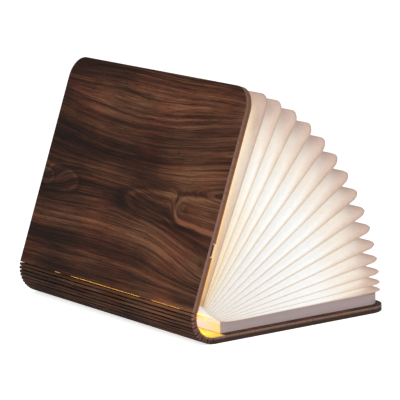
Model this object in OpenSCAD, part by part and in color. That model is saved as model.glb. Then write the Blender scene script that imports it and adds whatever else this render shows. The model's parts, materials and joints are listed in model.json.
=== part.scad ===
// Folding book lamp: two plywood covers joined by a laser-cut living hinge,
// with a fan of white paper pages that lights up as the book is opened.
// The lamp rests on its back cover, with the front cover part way open.
// Millimetres. +Z is up, +Y runs along the spine, +X runs to the fore-edge.
// The origin is the middle of the back cover's underside.

/* [Covers] */
// Width of a cover, from the last hinge line to its fore-edge
cover_w = 157; // [130:1:175]
// Length of a cover, along the spine
cover_l = 215; // [180:1:240]
// Thickness of the plywood
cover_t = 4.5; // [4:0.1:5]
// Radius of the two fore-edge corners
cover_corner_r = 16; // [8:1:24]
// Angle between the covers, as the lamp stands
open_angle = 70.5; // [30:0.5:110]

/* [Living hinge] */
// Distance from one hinge line to the next
kerf_pitch = 2.5; // [2.3:0.05:2.7]
// Width of a laser-cut kerf
kerf_w = 0.7; // [0.66:0.02:0.9]
// Clearance that is left at a hinge line, on each side
hinge_clearance = 0.03; // [0.02:0.01:0.06]
// Length of the bridges in a kerf that is open at both ends
bridge_l = 11; // [6:1:16]
// Distance of those bridges from the middle of the spine
bridge_y = 50; // [40:1:60]
// Length of the bridge in the middle of the other kerfs
mid_bridge_l = 12; // [8:1:18]
// Length of the bridges at both ends of the other kerfs
end_bridge_l = 5; // [3:0.5:8]

/* [Page fan] */
// Thickness of the paper at a page's rim
page_t = 0.14; // [0.1:0.01:0.16]
// Width of the stiff rim round a page
rim_w = 6; // [5:0.5:8]
// Gap from a page's end to the cover's end
page_end_gap = 3; // [2:0.5:5]
// Gap from a page's fore-edge to the cover's fore-edge
page_fore_gap = 0.5; // [0.3:0.1:3]
// Radius of a page's corners
page_corner_r = 10; // [8:1:20]
// Distance from the hinge line to the pages' spine edges
page_spine_gap = 11.5; // [10.5:0.5:16]
// Depth of the folds between two pages
pleat_depth = 45; // [30:1:47]
// Thickness of the folded paper
pleat_t = 0.12; // [0.08:0.01:0.13]
// Radius of the folds' inner corners
valley_corner_r = 12; // [6:1:20]
// How fast the pages spread from the back cover
fan_rise = 0.7; // [0.4:0.05:1]
// How fast they close up again at the front cover
fan_fall = 0.3; // [0.1:0.05:0.5]

/* [Blocks] */
// Height of the block on the back cover, which holds the battery
back_block_h = 7.5; // [7:0.1:8]
// Height of the block on the front cover, which holds the charging board
front_block_h = 5; // [4.7:0.1:5.2]
// Gap from a block's end to the cover's end
block_end_gap = 7; // [5:0.5:10]
// Gap from a block's fore-edge to the cover's fore-edge
block_fore_gap = 3; // [2:0.5:8]
// Distance from the hinge line to a block's spine face
block_spine_gap = 11; // [9:0.5:11]
// Radius of the blocks' fore-edge corners
block_corner_r = 10; // [8:1:18]
// Thickness of the blocks' side walls
wall_t = 1.6; // [1.2:0.1:2]
// Thickness of the blocks' floors and lids
plate_t = 1; // [0.8:0.1:1.2]
// Fit of a lid inside the walls
lid_fit = 0.15; // [0.1:0.05:0.3]

/* [Inside] */
// Length of the battery, along the spine
battery_l = 118; // [80:1:130]
// Gap from the battery to the control board and to the magnets
battery_gap = 8; // [6:0.5:14]
// Thickness of the battery
battery_t = 5; // [3.5:0.1:5]
// Size of the control board, along the spine
control_l = 46; // [30:1:60]
// Width of the control board
control_w = 22; // [14:1:24]
// Size of the charging board, along the spine
charge_l = 26; // [20:1:40]
// Width of the charging board
charge_w = 30; // [22:1:40]
// Thickness of the circuit boards
board_t = 0.8; // [0.6:0.1:1]
// Height of the tallest part on the control board
coil_h = 3.2; // [2:0.1:3.5]
// Height of the flat chips on the boards
chip_h = 0.9; // [0.6:0.1:1.2]
// Length of the light bar
light_l = 102; // [60:1:106]
// Width of the light bar's board
light_w = 7; // [5:0.5:9]
// Number of light-emitting diodes on the bar
led_count = 14; // [6:1:18]
// Side of one light-emitting diode
led_side = 3; // [2:0.1:3.2]
// Height of one light-emitting diode
led_h = 0.7; // [0.5:0.1:0.8]
// Height of the diffuser over the light bar
diffuser_h = 3; // [2.4:0.1:3.2]
// Wall of the diffuser
diffuser_wall = 0.7; // [0.5:0.1:0.8]
// Diameter of the closing magnets
magnet_d = 8; // [5:0.5:10]
// Thickness of the closing magnets
magnet_t = 2; // [1:0.1:2.5]

/* [Charging port] */
// Distance from the hinge line to the middle of the port
port_x = 44; // [34:1:60]
// Width of the notch in the cover's edge
notch_w = 9.7; // [9.2:0.1:14]
// Width of the socket's shell
socket_w = 7.8; // [7.4:0.1:8.4]
// Height of the socket's shell
socket_h = 2.7; // [2.4:0.1:2.8]
// Length of the socket
socket_l = 5.6; // [5:0.1:6.5]
// Thickness of the socket's metal
socket_metal = 0.3; // [0.2:0.05:0.4]

/* [Hidden] */
STRIPS = 12;
PAGES = 15;

$fn = 48;
eps = 0.01;

// Where the two straight ends of the living hinge lie, and how it bends.
bend_angle = 180 - open_angle;
strip_turn = bend_angle / (STRIPS + 1);
closed_turn = 180 / (STRIPS + 1);
hinge_x = -cover_w / 2;
hinge_z = cover_t / 2;
closed_gap = kerf_pitch * sin(closed_turn * STRIPS / 2) / sin(closed_turn / 2);
back_top = cover_t + back_block_h;
page_room = closed_gap - cover_t - back_block_h - front_block_h;
page_pitch = page_room / PAGES;

// The spine seen as one smooth arc, closed and as it stands.
arc_l = kerf_pitch * (STRIPS + 1);
closed_arc_r = arc_l / PI;
arc_r = arc_l / (bend_angle * PI / 180);
arc_start = [hinge_x + kerf_pitch / 2, hinge_z];

// A hinge line: number 0 is at the back cover, number STRIPS at the front cover.
function hinge_line(i) = i == 0 ? [hinge_x, hinge_z]
    : hinge_line(i - 1) + kerf_pitch * [-cos(i * strip_turn), sin(i * strip_turn)];
front_line = hinge_line(STRIPS);

// Share of the opening that each page has turned through, 0 at the back cover and 1 at the front.
function sum_to(list, n) = n == 0 ? 0 : list[n - 1] + sum_to(list, n - 1);
fan_steps = [for (k = [1:PAGES + 1]) let (u = (k - 0.5) / (PAGES + 1))
    pow(u, fan_rise) * pow(1 - u, fan_fall)];
function share(k) = sum_to(fan_steps, k) / sum_to(fan_steps, PAGES + 1);

// How far the pages' roots lie off the arc, outwards and along it: first for one swell over
// the whole spine, then for one in each half. It keeps the two halves of the living hinge
// together however far the lamp is open.
root_out = [0.048, -0.036];
root_along = [0.016, 0.017];
function sway(swell, f) = swell[0] * sin(180 * f) + swell[1] * sin(360 * f);

// A place on the spine's arc, closed and as it stands, that carries the page with share f.
function closed_seat(f) = arc_start
    + closed_arc_r * [-sin(180 * f), 1 - cos(180 * f)];
function seat(f) =
    let (t = bend_angle * f, out = sway(root_out, f), along = sway(root_along, f))
    arc_start + arc_r * [-sin(t), 1 - cos(t)] - out * [sin(t), cos(t)]
    + along * [-cos(t), sin(t)];

// A point of the closed book, moved to where it is as the lamp stands.
function opened(f, p) =
    let (a = open_angle * f, d = [p.x, p.z] - closed_seat(f), s = seat(f))
    [s[0] + d[0] * cos(a) - d[1] * sin(a), p.y, s[1] + d[0] * sin(a) + d[1] * cos(a)];

// The same for a point that moves with the front cover.
function front_opened(p) =
    let (d = [p.x - hinge_x, p.z - hinge_z - closed_gap])
    [front_line[0] + d[0] * cos(open_angle) - d[1] * sin(open_angle), p.y,
     front_line[1] + d[0] * sin(open_angle) + d[1] * cos(open_angle)];

// Height of a page's middle in the closed book.
function page_z(k) = back_top + page_pitch * (k - 0.5);

// Edges of the pages in the closed book.
page_x0 = hinge_x + page_spine_gap;
page_x1 = cover_w / 2 - page_fore_gap;
page_y = cover_l / 2 - page_end_gap;

// ---- shared shapes ----

// A plate with square corners at x0 and round corners at x1.
module book_outline(x0, x1, half_l, r) {
    translate([x0, -half_l]) square([x1 - r - x0, 2 * half_l]);
    translate([x0, -half_l + r]) square([x1 - x0, 2 * (half_l - r)]);
    for (side = [-1, 1])
        translate([x1 - r, side * (half_l - r)]) circle(r);
}

module box(x0, x1, y0, y1, z0, z1) {
    translate([x0, y0, z0]) cube([x1 - x0, y1 - y0, z1 - z0]);
}

// Turns a child from the closed book to the place of the page with share f.
module open_to(f) {
    translate([seat(f)[0], 0, seat(f)[1]])
        rotate([0, -open_angle * f, 0])
            translate([-closed_seat(f)[0], 0, -closed_seat(f)[1]])
                children();
}

// The front cover's own frame: x from its hinge line, z away from the pages.
module on_front() {
    translate([front_line[0], 0, front_line[1]])
        rotate([0, -open_angle, 0])
            children();
}

// ---- living hinge ----

// Kerfs with an even number are open at both ends and have two bridges. The others have one
// bridge in the middle and one at each end. Each entry is [middle, length] along the spine.
function bridges(i) = i % 2 == 0
    ? [[-bridge_y, bridge_l], [bridge_y, bridge_l]]
    : [[-(cover_l - end_bridge_l) / 2, end_bridge_l], [0, mid_bridge_l],
       [(cover_l - end_bridge_l) / 2, end_bridge_l]];

// How far a bridge falls back from the hinge line at the plywood's faces, and how far its
// root reaches into the wood beside the kerf.
bridge_relief = cover_t / 2 * tan(closed_turn / 2) + hinge_clearance;
bridge_root = 0.4;

// Half of the bridges in kerf i, on the side that looks along +x at x = 0.
// Its tip is a blunt edge at mid-thickness, on which the neighbour turns.
module half_bridges(i) {
    tip = -hinge_clearance;
    root = -kerf_w / 2 - bridge_root;
    for (b = bridges(i))
        translate([0, b[0] + b[1] / 2, 0])
            rotate([90, 0, 0])
                linear_extrude(b[1])
                    polygon([
                        [root, -cover_t / 2], [tip - bridge_relief, -cover_t / 2], [tip, 0],
                        [tip - bridge_relief, cover_t / 2], [root, cover_t / 2]
                    ]);
}

module hinge_strip(i) {
    near = hinge_line(i - 1);
    color("saddlebrown")
        translate([near[0], 0, near[1]])
            rotate([0, 180 + i * strip_turn, 0]) {
                box(kerf_w / 2, kerf_pitch - kerf_w / 2, -cover_l / 2, cover_l / 2,
                    -cover_t / 2, cover_t / 2);
                mirror([1, 0, 0]) half_bridges(i - 1);
                translate([kerf_pitch, 0, 0]) half_bridges(i);
            }
}

// ---- covers ----

module cover_plate() {
    translate([0, 0, -cover_t / 2])
        linear_extrude(cover_t)
            book_outline(kerf_w / 2, cover_w, cover_l / 2, cover_corner_r);
}

module back_cover() {
    color("saddlebrown")
        translate([hinge_x, 0, hinge_z]) {
            cover_plate();
            mirror([1, 0, 0]) half_bridges(0);
        }
}

module front_cover() {
    color("saddlebrown")
        on_front() {
            difference() {
                cover_plate();
                box(port_x - notch_w / 2, port_x + notch_w / 2, -cover_l / 2 - 1,
                    -cover_l / 2 + block_end_gap, -cover_t / 2 - 1, 0);
            }
            mirror([1, 0, 0]) half_bridges(STRIPS);
        }
}

// ---- blocks: a tray glued to the cover and a lid let into its walls ----

// Their frame: x from the hinge line, z from the cover's inner face.
block_x0 = block_spine_gap;
block_x1 = cover_w - block_fore_gap;
block_y = cover_l / 2 - block_end_gap;
inner_r = block_corner_r - wall_t;

module tray(h) {
    difference() {
        linear_extrude(h) book_outline(block_x0, block_x1, block_y, block_corner_r);
        translate([0, 0, plate_t])
            linear_extrude(h)
                book_outline(block_x0 + wall_t, block_x1 - wall_t, block_y - wall_t, inner_r);
    }
}

module lid(h) {
    translate([0, 0, h - plate_t])
        linear_extrude(plate_t)
            book_outline(block_x0 + wall_t + lid_fit, block_x1 - wall_t - lid_fit,
                block_y - wall_t - lid_fit, inner_r - lid_fit);
}

module on_back_face() {
    translate([hinge_x, 0, cover_t]) children();
}

module on_front_face() {
    on_front() mirror([0, 0, 1]) translate([0, 0, cover_t / 2]) children();
}

module back_tray() {
    color("thistle") on_back_face() tray(back_block_h);
}

module back_lid() {
    color("whitesmoke") on_back_face() lid(back_block_h);
}

magnet_y = block_y - wall_t - magnet_d;
magnet_x = block_x1 - wall_t - magnet_d / 2 - 1;

module magnet_pair() {
    for (side = [-1, 1])
        translate([magnet_x, side * magnet_y, plate_t])
            cylinder(h = magnet_t, d = magnet_d);
}

// A part soldered to a board: its middle as shares of the board's width and length.
module on_board(board_x, board_y, board_w, board_l, share_x, share_y, w, l, h) {
    translate([board_x + share_x * board_w - w / 2, board_y + share_y * board_l - l / 2,
            plate_t + board_t - eps])
        cube([w, l, h + eps]);
}

// The control board lies between the spine's side of the block and the battery.
control_x0 = block_x0 + wall_t + 6;
battery_x0 = control_x0 + control_w + battery_gap;
battery_x1 = magnet_x - magnet_d / 2 - battery_gap;

// A flat pouch, with two lead tabs at its folded end.
module battery() {
    tab_w = 8;
    tab_l = 4;
    tab_t = 1.2;
    color("silver") on_back_face() {
        box(battery_x0, battery_x1, -battery_l / 2, battery_l / 2,
            plate_t, plate_t + battery_t);
        for (y = [-battery_l / 10, battery_l / 10])
            box(battery_x0 - tab_l, battery_x0 + eps, y - tab_w / 2, y + tab_w / 2,
                plate_t, plate_t + tab_t);
    }
}

module control_board() {
    module part(share_x, share_y, w, l, h) {
        on_board(control_x0, -control_l / 2, control_w, control_l, share_x, share_y, w, l, h);
    }
    color("darkgreen") on_back_face() {
        box(control_x0, control_x0 + control_w, -control_l / 2, control_l / 2,
            plate_t, plate_t + board_t);
        // controller, driver coil, connector and a row of small capacitors
        part(0.35, 0.48, 5.5, 5.5, chip_h);
        part(0.4, 0.76, 6.5, 6.5, coil_h);
        part(0.8, 0.25, 5, 9, 0.9 * coil_h);
        for (i = [0:3])
            part(0.2 + 0.12 * i, 0.22, 1.2, 2, chip_h);
    }
}

module back_magnets() {
    color("gainsboro") on_back_face() magnet_pair();
}

// A glass tube with a lead at each end, lying beside one magnet.
module reed_switch() {
    tube_d = 2.2;
    tube_l = 12;
    lead_d = 0.6;
    lead_l = 4;
    tube_y1 = magnet_y - magnet_d / 2 - lead_l - 2;
    color("lightcyan") on_back_face()
        translate([magnet_x, tube_y1, plate_t + tube_d / 2])
            rotate([90, 0, 0]) {
                cylinder(h = tube_l, d = tube_d);
                translate([0, 0, -lead_l])
                    cylinder(h = tube_l + 2 * lead_l, d = lead_d);
            }
}

// ---- light bar, standing on the back block's lid behind the pages' spine edges ----

light_x = block_x0 + wall_t + 1.5;

module light_bar() {
    led_step = light_l / led_count;
    color("ivory") on_back_face() {
        box(light_x, light_x + light_w, -light_l / 2, light_l / 2,
            back_block_h, back_block_h + board_t);
        for (i = [0:led_count - 1])
            translate([light_x + light_w / 2, (i + 0.5) * led_step - light_l / 2,
                    back_block_h + board_t + led_h / 2 - eps])
                cube([led_side, led_side, led_h], center = true);
    }
}

module diffuser() {
    skirt = 1;
    outer_w = light_w + 2 * diffuser_wall + 0.4;
    inner_w = outer_w - 2 * diffuser_wall;
    outer_l = light_l + 2 * diffuser_wall + 0.4;
    color("white") on_back_face()
        translate([light_x + light_w / 2 - outer_w / 2, -outer_l / 2, back_block_h])
            difference() {
                cube([outer_w, outer_l, diffuser_h]);
                translate([diffuser_wall, diffuser_wall, -skirt])
                    cube([inner_w, outer_l - 2 * diffuser_wall,
                        diffuser_h - diffuser_wall + skirt]);
            }
}

// ---- page fan ----

// The stiff rim of one page: three sides, open at the spine.
module page(k) {
    color("white")
        open_to(share(k))
            translate([0, 0, page_z(k) - page_t / 2])
                linear_extrude(page_t)
                    difference() {
                        book_outline(page_x0, page_x1, page_y, page_corner_r);
                        book_outline(page_x0 - 1, page_x1 - rim_w, page_y - rim_w,
                            page_corner_r - rim_w);
                    }
}

// Points along a U that is set in from a page's edge by e, with corners of radius r.
ARC_STEPS = 6;
function u_path(e, r) =
    let (x1 = page_x1 - e, y1 = page_y - e, xm = (page_x0 + x1 - r) / 2)
    concat(
        [[page_x0, -y1], [xm, -y1]],
        [for (i = [0:ARC_STEPS]) let (a = 90 * i / ARC_STEPS - 90)
            [x1 - r + r * cos(a), -y1 + r + r * sin(a)]],
        [for (i = [0:ARC_STEPS]) let (a = 90 * i / ARC_STEPS)
            [x1 - r + r * cos(a), y1 - r + r * sin(a)]],
        [[xm, y1], [page_x0, y1]]
    );

rim_path = u_path(rim_w + 0.1, page_corner_r - rim_w);
valley_path = u_path(pleat_depth, valley_corner_r);
crease_path = u_path(pleat_depth + 0.6, valley_corner_r);
paper_gap = 0.01;

// A point of page k, p along its plane and z above its middle, as the lamp stands.
function page_point(k, p, z) = opened(share(k), [p[0], p[1], page_z(k) + z]);

// The same point halfway between two pages.
function mid_point(k, p, z) = (page_point(k - 1, p, z) + page_point(k, p, z)) / 2;

// Faces of a folded sheet that runs through rings of n points. From point back_from on, a
// ring runs along the sheet's back, and the slant of its triangles matches the front's.
// ends lists the triangles that close the first and the last ring.
function sheet_faces(rings, n, back_from, ends) = concat(
    [for (i = [0:rings - 2], j = [0:n - 1])
        let (a = i * n + j, b = i * n + (j + 1) % n, c = b + n, d = a + n)
        each j < back_from ? [[a, b, c], [a, c, d]] : [[a, b, d], [b, c, d]]],
    [for (e = ends) [e[2], e[1], e[0]]],
    [for (e = ends) [for (j = e) (rings - 1) * n + j]]
);

// The folded sheet between two pages: from one rim in to a valley and back to the next rim.
module fold_between(k) {
    last = len(rim_path) - 1;
    points = [for (i = [0:last])
        let (r = rim_path[i], v = valley_path[i], c = crease_path[i])
        each [
            page_point(k - 1, r, paper_gap), mid_point(k, c, -pleat_t),
            mid_point(k, c, pleat_t), page_point(k, r, -paper_gap),
            page_point(k, r, -paper_gap - pleat_t), mid_point(k, v, 0),
            page_point(k - 1, r, paper_gap + pleat_t)
        ]];
    polyhedron(points, sheet_faces(last + 1, 7, 4,
        [[0, 1, 5], [0, 5, 6], [1, 2, 5], [2, 3, 5], [3, 4, 5]]), convexity = 4);
}

// The half fold that joins the first or the last page to a block's lid. side is -1 for the
// fold under the first page, and 1 for the fold over the last one.
module fold_to_block(k, side, valley_z) {
    last = len(rim_path) - 1;
    function valley_point(v, z) = side < 0 ? [v[0], v[1], z] : front_opened([v[0], v[1], z]);
    ring = [for (i = [0:last])
        let (r = rim_path[i], v = valley_path[i])
        each [
            page_point(k, r, side * (paper_gap + pleat_t)), page_point(k, r, side * paper_gap),
            valley_point(v, valley_z - side * pleat_t), valley_point(v, valley_z)
        ]];
    faces = sheet_faces(last + 1, 4, 3, [[0, 1, 2], [0, 2, 3]]);
    polyhedron(ring, [for (f = faces) side < 0 ? f : [f[2], f[1], f[0]]], convexity = 4);
}

module pleat(k) {
    glue = 0.15;
    color("white")
        if (k == 1)
            fold_to_block(1, -1, back_top + glue);
        else if (k == PAGES + 1)
            fold_to_block(PAGES, 1, back_top + page_room - glue);
        else
            fold_between(k);
}

// The sheet that closes the fan on its spine side, from one block to the other.
module spine_web() {
    web_t = 0.25;
    web_gap = 0.15;
    end_gap = 0.3;
    function web_edge(set_back) = concat(
        [[page_x0 - set_back, 0, back_top]],
        [for (k = [1:PAGES]) opened(share(k), [page_x0 - set_back, 0, page_z(k)])],
        [front_opened([page_x0 - set_back, 0, back_top + page_room - end_gap])]
    );
    near = web_edge(web_gap);
    far = web_edge(web_gap + web_t);
    color("white")
        translate([0, page_y, 0])
            rotate([90, 0, 0])
                linear_extrude(2 * page_y)
                    polygon(concat(
                        [for (p = near) [p.x, p.z]],
                        [for (i = [len(far) - 1:-1:0]) [far[i].x, far[i].z]]
                    ));
}

// ---- front block ----

module front_tray() {
    color("thistle") on_front_face()
        difference() {
            tray(front_block_h);
            // mouth for the charging socket
            box(port_x - socket_w / 2 - lid_fit, port_x + socket_w / 2 + lid_fit,
                -block_y - 1, -block_y + wall_t + 1,
                plate_t, plate_t + socket_h + lid_fit);
        }
}

module front_lid() {
    color("whitesmoke") on_front_face() lid(front_block_h);
}

charge_x0 = port_x - charge_w / 2;
charge_y0 = -block_y + wall_t + 0.3;

module charge_board() {
    module part(share_x, share_y, w, l, h) {
        on_board(charge_x0, charge_y0, charge_w, charge_l, share_x, share_y, w, l, h);
    }
    color("darkgreen") on_front_face() {
        difference() {
            box(charge_x0, charge_x0 + charge_w, charge_y0, charge_y0 + charge_l,
                plate_t, plate_t + board_t);
            box(port_x - socket_w / 2 - lid_fit, port_x + socket_w / 2 + lid_fit,
                charge_y0 - 1, -block_y + socket_l + lid_fit, 0, plate_t + board_t + 1);
        }
        // charging controller, connector and two resistors
        part(0.25, 0.65, 5, 5, chip_h);
        part(0.75, 0.78, 8, 5, 0.6 * coil_h);
        for (x = [0.45, 0.55])
            part(x, 0.5, 1.2, 2, 0.6 * chip_h);
    }
}

// A metal shell, open towards the cover's end, with the contact tongue inside.
module usb_socket() {
    tongue_t = 0.6;
    tongue_w = 3.6;
    tongue_set_back = 0.8;
    color("silver") on_front_face() {
        difference() {
            box(port_x - socket_w / 2, port_x + socket_w / 2, -block_y, -block_y + socket_l,
                plate_t, plate_t + socket_h);
            box(port_x - socket_w / 2 + socket_metal, port_x + socket_w / 2 - socket_metal,
                -block_y - 1, -block_y + socket_l - socket_metal,
                plate_t + socket_metal, plate_t + socket_h - socket_metal);
        }
        box(port_x - tongue_w / 2, port_x + tongue_w / 2, -block_y + tongue_set_back,
            -block_y + socket_l - socket_metal / 2,
            plate_t + (socket_h - tongue_t) / 2, plate_t + (socket_h + tongue_t) / 2);
    }
}

module front_magnets() {
    color("gainsboro") on_front_face() magnet_pair();
}

back_cover();
back_tray();
back_lid();
battery();
control_board();
reed_switch();
light_bar();
diffuser();
back_magnets();
spine_web();
for (i = [1:STRIPS]) hinge_strip(i);
for (k = [1:PAGES]) page(k);
for (k = [1:PAGES + 1]) pleat(k);
front_cover();
front_tray();
front_lid();
charge_board();
usb_socket();
front_magnets();
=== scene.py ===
"""Folding book lamp: walnut covers on a living hinge, and a fan of folded paper that glows.
Metres, in the frame of the CAD model. The lamp stands on its back cover, spine along Y."""

import json
import math

import bmesh
import bpy
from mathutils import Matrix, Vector

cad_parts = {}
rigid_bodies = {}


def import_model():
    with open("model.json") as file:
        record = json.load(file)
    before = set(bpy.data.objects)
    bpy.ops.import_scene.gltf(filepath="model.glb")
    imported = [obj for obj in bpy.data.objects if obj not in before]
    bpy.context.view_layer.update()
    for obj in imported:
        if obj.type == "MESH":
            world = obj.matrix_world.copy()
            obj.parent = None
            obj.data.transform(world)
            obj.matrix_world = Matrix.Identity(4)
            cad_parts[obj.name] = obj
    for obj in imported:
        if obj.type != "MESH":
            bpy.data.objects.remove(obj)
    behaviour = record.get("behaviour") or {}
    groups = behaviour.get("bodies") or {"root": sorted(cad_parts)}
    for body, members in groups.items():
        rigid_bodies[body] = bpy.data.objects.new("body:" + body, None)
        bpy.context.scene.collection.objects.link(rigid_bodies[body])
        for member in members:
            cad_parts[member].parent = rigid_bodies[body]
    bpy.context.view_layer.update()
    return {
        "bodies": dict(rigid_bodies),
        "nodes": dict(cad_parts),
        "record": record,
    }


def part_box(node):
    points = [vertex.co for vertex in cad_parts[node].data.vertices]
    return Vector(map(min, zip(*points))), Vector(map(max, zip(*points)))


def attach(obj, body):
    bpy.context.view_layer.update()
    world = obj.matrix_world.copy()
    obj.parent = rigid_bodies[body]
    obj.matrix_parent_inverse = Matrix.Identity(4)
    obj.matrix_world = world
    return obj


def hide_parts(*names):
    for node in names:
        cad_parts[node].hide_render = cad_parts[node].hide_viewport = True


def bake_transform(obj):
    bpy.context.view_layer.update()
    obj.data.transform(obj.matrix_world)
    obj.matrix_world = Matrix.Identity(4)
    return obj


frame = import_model()
MM = 0.001
SAME_FACE = 0.01 * MM  # a point this close to a face lies on it

# ---- how the book opens ----

joints = {j["name"]: j for j in frame["record"]["behaviour"]["joints"]}
ratios = {c["joint"]: c["ratio"] for c in frame["record"]["behaviour"]["couplings"]}
LEAVES = sum(1 for name in frame["bodies"] if name.startswith("leaf_"))
STRIPS = sum(1 for name in frame["bodies"] if name.startswith("strip_"))
FOLDS = LEAVES + 1
closing = math.radians(joints["cover_opening"]["range_deg"][0])  # turn that shuts the book


def page_hinge(k):
    """Pivot and opening angle of the hinge between page k - 1 and page k."""
    name = "cover_opening" if k == FOLDS else f"leaf_{k}_turn"
    x, _, z = joints[name]["pos_m"]
    return x, z, -closing * ratios.get(name, 1.0)


def turned(x, z, pivot_x, pivot_z, angle):
    """A point of the x-z plane, turned about a pivot."""
    c, s = math.cos(angle), math.sin(angle)
    dx, dz = x - pivot_x, z - pivot_z
    return pivot_x + dx * c - dz * s, pivot_z + dx * s + dz * c


def opened(k, share, x, y, z):
    """A point of the closed book, at that share of the way from page k - 1 to page k."""
    for i in range(1, k + 1):
        px, pz, angle = page_hinge(i)
        x, z = turned(x, z, px, pz, angle * (share if i == k else 1.0))
    return Vector((x, y, z))


def closed(k, point):
    """A point that rides on page k, moved to where it is in the closed book."""
    x, z = point.x, point.z
    for i in range(k, 0, -1):
        px, pz, angle = page_hinge(i)
        x, z = turned(x, z, px, pz, -angle)
    return Vector((x, point.y, z))


def closed_points(node, k):
    """The points of a node that rides on page k, in the closed book."""
    return [closed(k, v.co) for v in frame["nodes"][node].data.vertices]


OPENING = sum(page_hinge(k)[2] for k in range(1, FOLDS + 1))

# ---- sizes of the pages, from the frame ----

BLOCK_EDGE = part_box("back_tray")[0].x
SPINE_GAP = 2.5 * MM  # from the back block to the sheets' ends at the spine
first_page = closed_points("page_1", 1)
PAGE_X0 = BLOCK_EDGE - SPINE_GAP
PAGE_X1 = max(p.x for p in first_page)
PAGE_Y = max(p.y for p in first_page)
PAGE_CORNER = PAGE_X1 - max(p.x for p in first_page if p.y > PAGE_Y - SAME_FACE)
PLEAT_DEPTH = PAGE_Y - min(abs(p.y) for p in closed_points("pleat_2", 1))
PAGE_Z = [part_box("back_lid")[1].z]
for k in range(1, FOLDS):
    heights = [p.z for p in closed_points(f"page_{k}", k)]
    PAGE_Z.append((min(heights) + max(heights)) / 2)
PAGE_Z.append(min(p.z for p in closed_points("front_lid", FOLDS)))

# ---- nodes ----


class Nodes:
    """Adds shader nodes to a tree and links them."""

    def __init__(self, tree):
        self.tree = tree

    def add(self, kind, inputs=None, **settings):
        """A node with those inputs, each a value or a link, and those settings."""
        node = self.tree.nodes.new(kind)
        for name, value in settings.items():
            setattr(node, name, value)
        for name, value in (inputs or {}).items():
            self.feed(node.inputs[name], value)
        return node

    def feed(self, socket, value):
        if isinstance(value, bpy.types.NodeSocket):
            self.tree.links.new(value, socket)
        else:
            socket.default_value = value

    def math(self, operation, a, b=0.0, c=0.0):
        return self.add("ShaderNodeMath", {0: a, 1: b, 2: c}, operation=operation).outputs[0]

    def vector(self, x=0.0, y=0.0, z=0.0):
        return self.add("ShaderNodeCombineXYZ", {"X": x, "Y": y, "Z": z}).outputs[0]

    def split(self, vector):
        return self.add("ShaderNodeSeparateXYZ", {"Vector": vector}).outputs

    def here(self):
        """The texture coordinates of the surface."""
        return self.add("ShaderNodeTexCoord").outputs

    def attribute(self, name):
        return self.add("ShaderNodeAttribute", attribute_name=name).outputs["Fac"]

    def laid(self, vector, rotation, location=(0.0, 0.0, 0.0)):
        """A vector in the own directions of a plate that lies at that place and angle."""
        return self.add(
            "ShaderNodeMapping",
            {"Vector": vector, "Location": location, "Rotation": rotation},
            vector_type="TEXTURE",
        ).outputs[0]

    def noise(self, vector, scale=1.0, detail=2.0, roughness=0.5, distortion=0.0):
        return self.add(
            "ShaderNodeTexNoise",
            {
                "Vector": vector,
                "Scale": scale,
                "Detail": detail,
                "Roughness": roughness,
                "Distortion": distortion,
            },
        ).outputs["Fac"]

    def ramp(self, value, *stops, mode="EASE"):
        node = self.add("ShaderNodeValToRGB", {"Fac": value})
        node.color_ramp.interpolation = mode
        points = node.color_ramp.elements
        while len(points) < len(stops):
            points.new(0.5)
        for point, (place, colour) in zip(points, stops):
            point.position = place
            point.color = (*colour, 1.0)
        return node.outputs["Color"]

    def between(self, value, low, high, to_low=0.0, to_high=1.0):
        """Goes smoothly from to_low to to_high while the value goes from low to high."""
        node = self.add(
            "ShaderNodeMapRange",
            {
                "Value": value,
                "From Min": low,
                "From Max": high,
                "To Min": to_low,
                "To Max": to_high,
            },
        )
        node.interpolation_type = "SMOOTHSTEP"
        return node.outputs["Result"]

    def mix(self, factor, a, b, blend="MIX"):
        node = self.add("ShaderNodeMix", data_type="RGBA", blend_type=blend)
        self.feed(node.inputs[0], factor)
        self.feed(node.inputs[6], a if isinstance(a, bpy.types.NodeSocket) else (*a, 1.0))
        self.feed(node.inputs[7], b if isinstance(b, bpy.types.NodeSocket) else (*b, 1.0))
        return node.outputs[2]

    def tint(self, colour, by):
        return self.mix(1.0, colour, by, "MULTIPLY")


def group(name, inputs, outputs):
    """A shader node group with those sockets. Returns its tree and nodes, and what it is given
    and puts out."""
    tree = bpy.data.node_groups.new(name, "ShaderNodeTree")
    for label, kind, value in inputs:
        socket = tree.interface.new_socket(label, in_out="INPUT", socket_type=kind)
        if value is not None:
            socket.default_value = value
    for label, kind in outputs:
        tree.interface.new_socket(label, in_out="OUTPUT", socket_type=kind)
    nodes = Nodes(tree)
    return tree, nodes, nodes.add("NodeGroupInput").outputs, nodes.add("NodeGroupOutput").inputs


def opened_up(made):
    """The nodes and the Principled shader of a material."""
    return Nodes(made.node_tree), made.node_tree.nodes["Principled BSDF"]


def material(name):
    """A new material. Returns it, its nodes and its Principled shader."""
    made = bpy.data.materials.new(name)
    made.use_nodes = True
    return made, *opened_up(made)


def light_up(n, shader, colour):
    """Makes the surface give off light of that colour."""
    n.feed(shader.inputs["Emission Color"], colour)
    shader.inputs["Emission Strength"].default_value = 1.0


def roughen(n, shader, height, strength, distance):
    bump = n.add("ShaderNodeBump", {"Height": height, "Strength": strength, "Distance": distance})
    n.feed(shader.inputs["Normal"], bump.outputs["Normal"])


def use_group(nodes, tree, inputs):
    """Places a node group with those inputs. Returns its outputs."""
    node = nodes.add("ShaderNodeGroup")
    node.node_tree = tree
    for name, value in inputs.items():
        nodes.feed(node.inputs[name], value)
    return node.outputs


FLOAT, VECTOR, COLOUR = "NodeSocketFloat", "NodeSocketVector", "NodeSocketColor"

# ---- walnut ----

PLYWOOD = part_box("back_cover")[1].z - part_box("back_cover")[0].z
HALF_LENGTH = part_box("front_cover")[1].y

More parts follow.
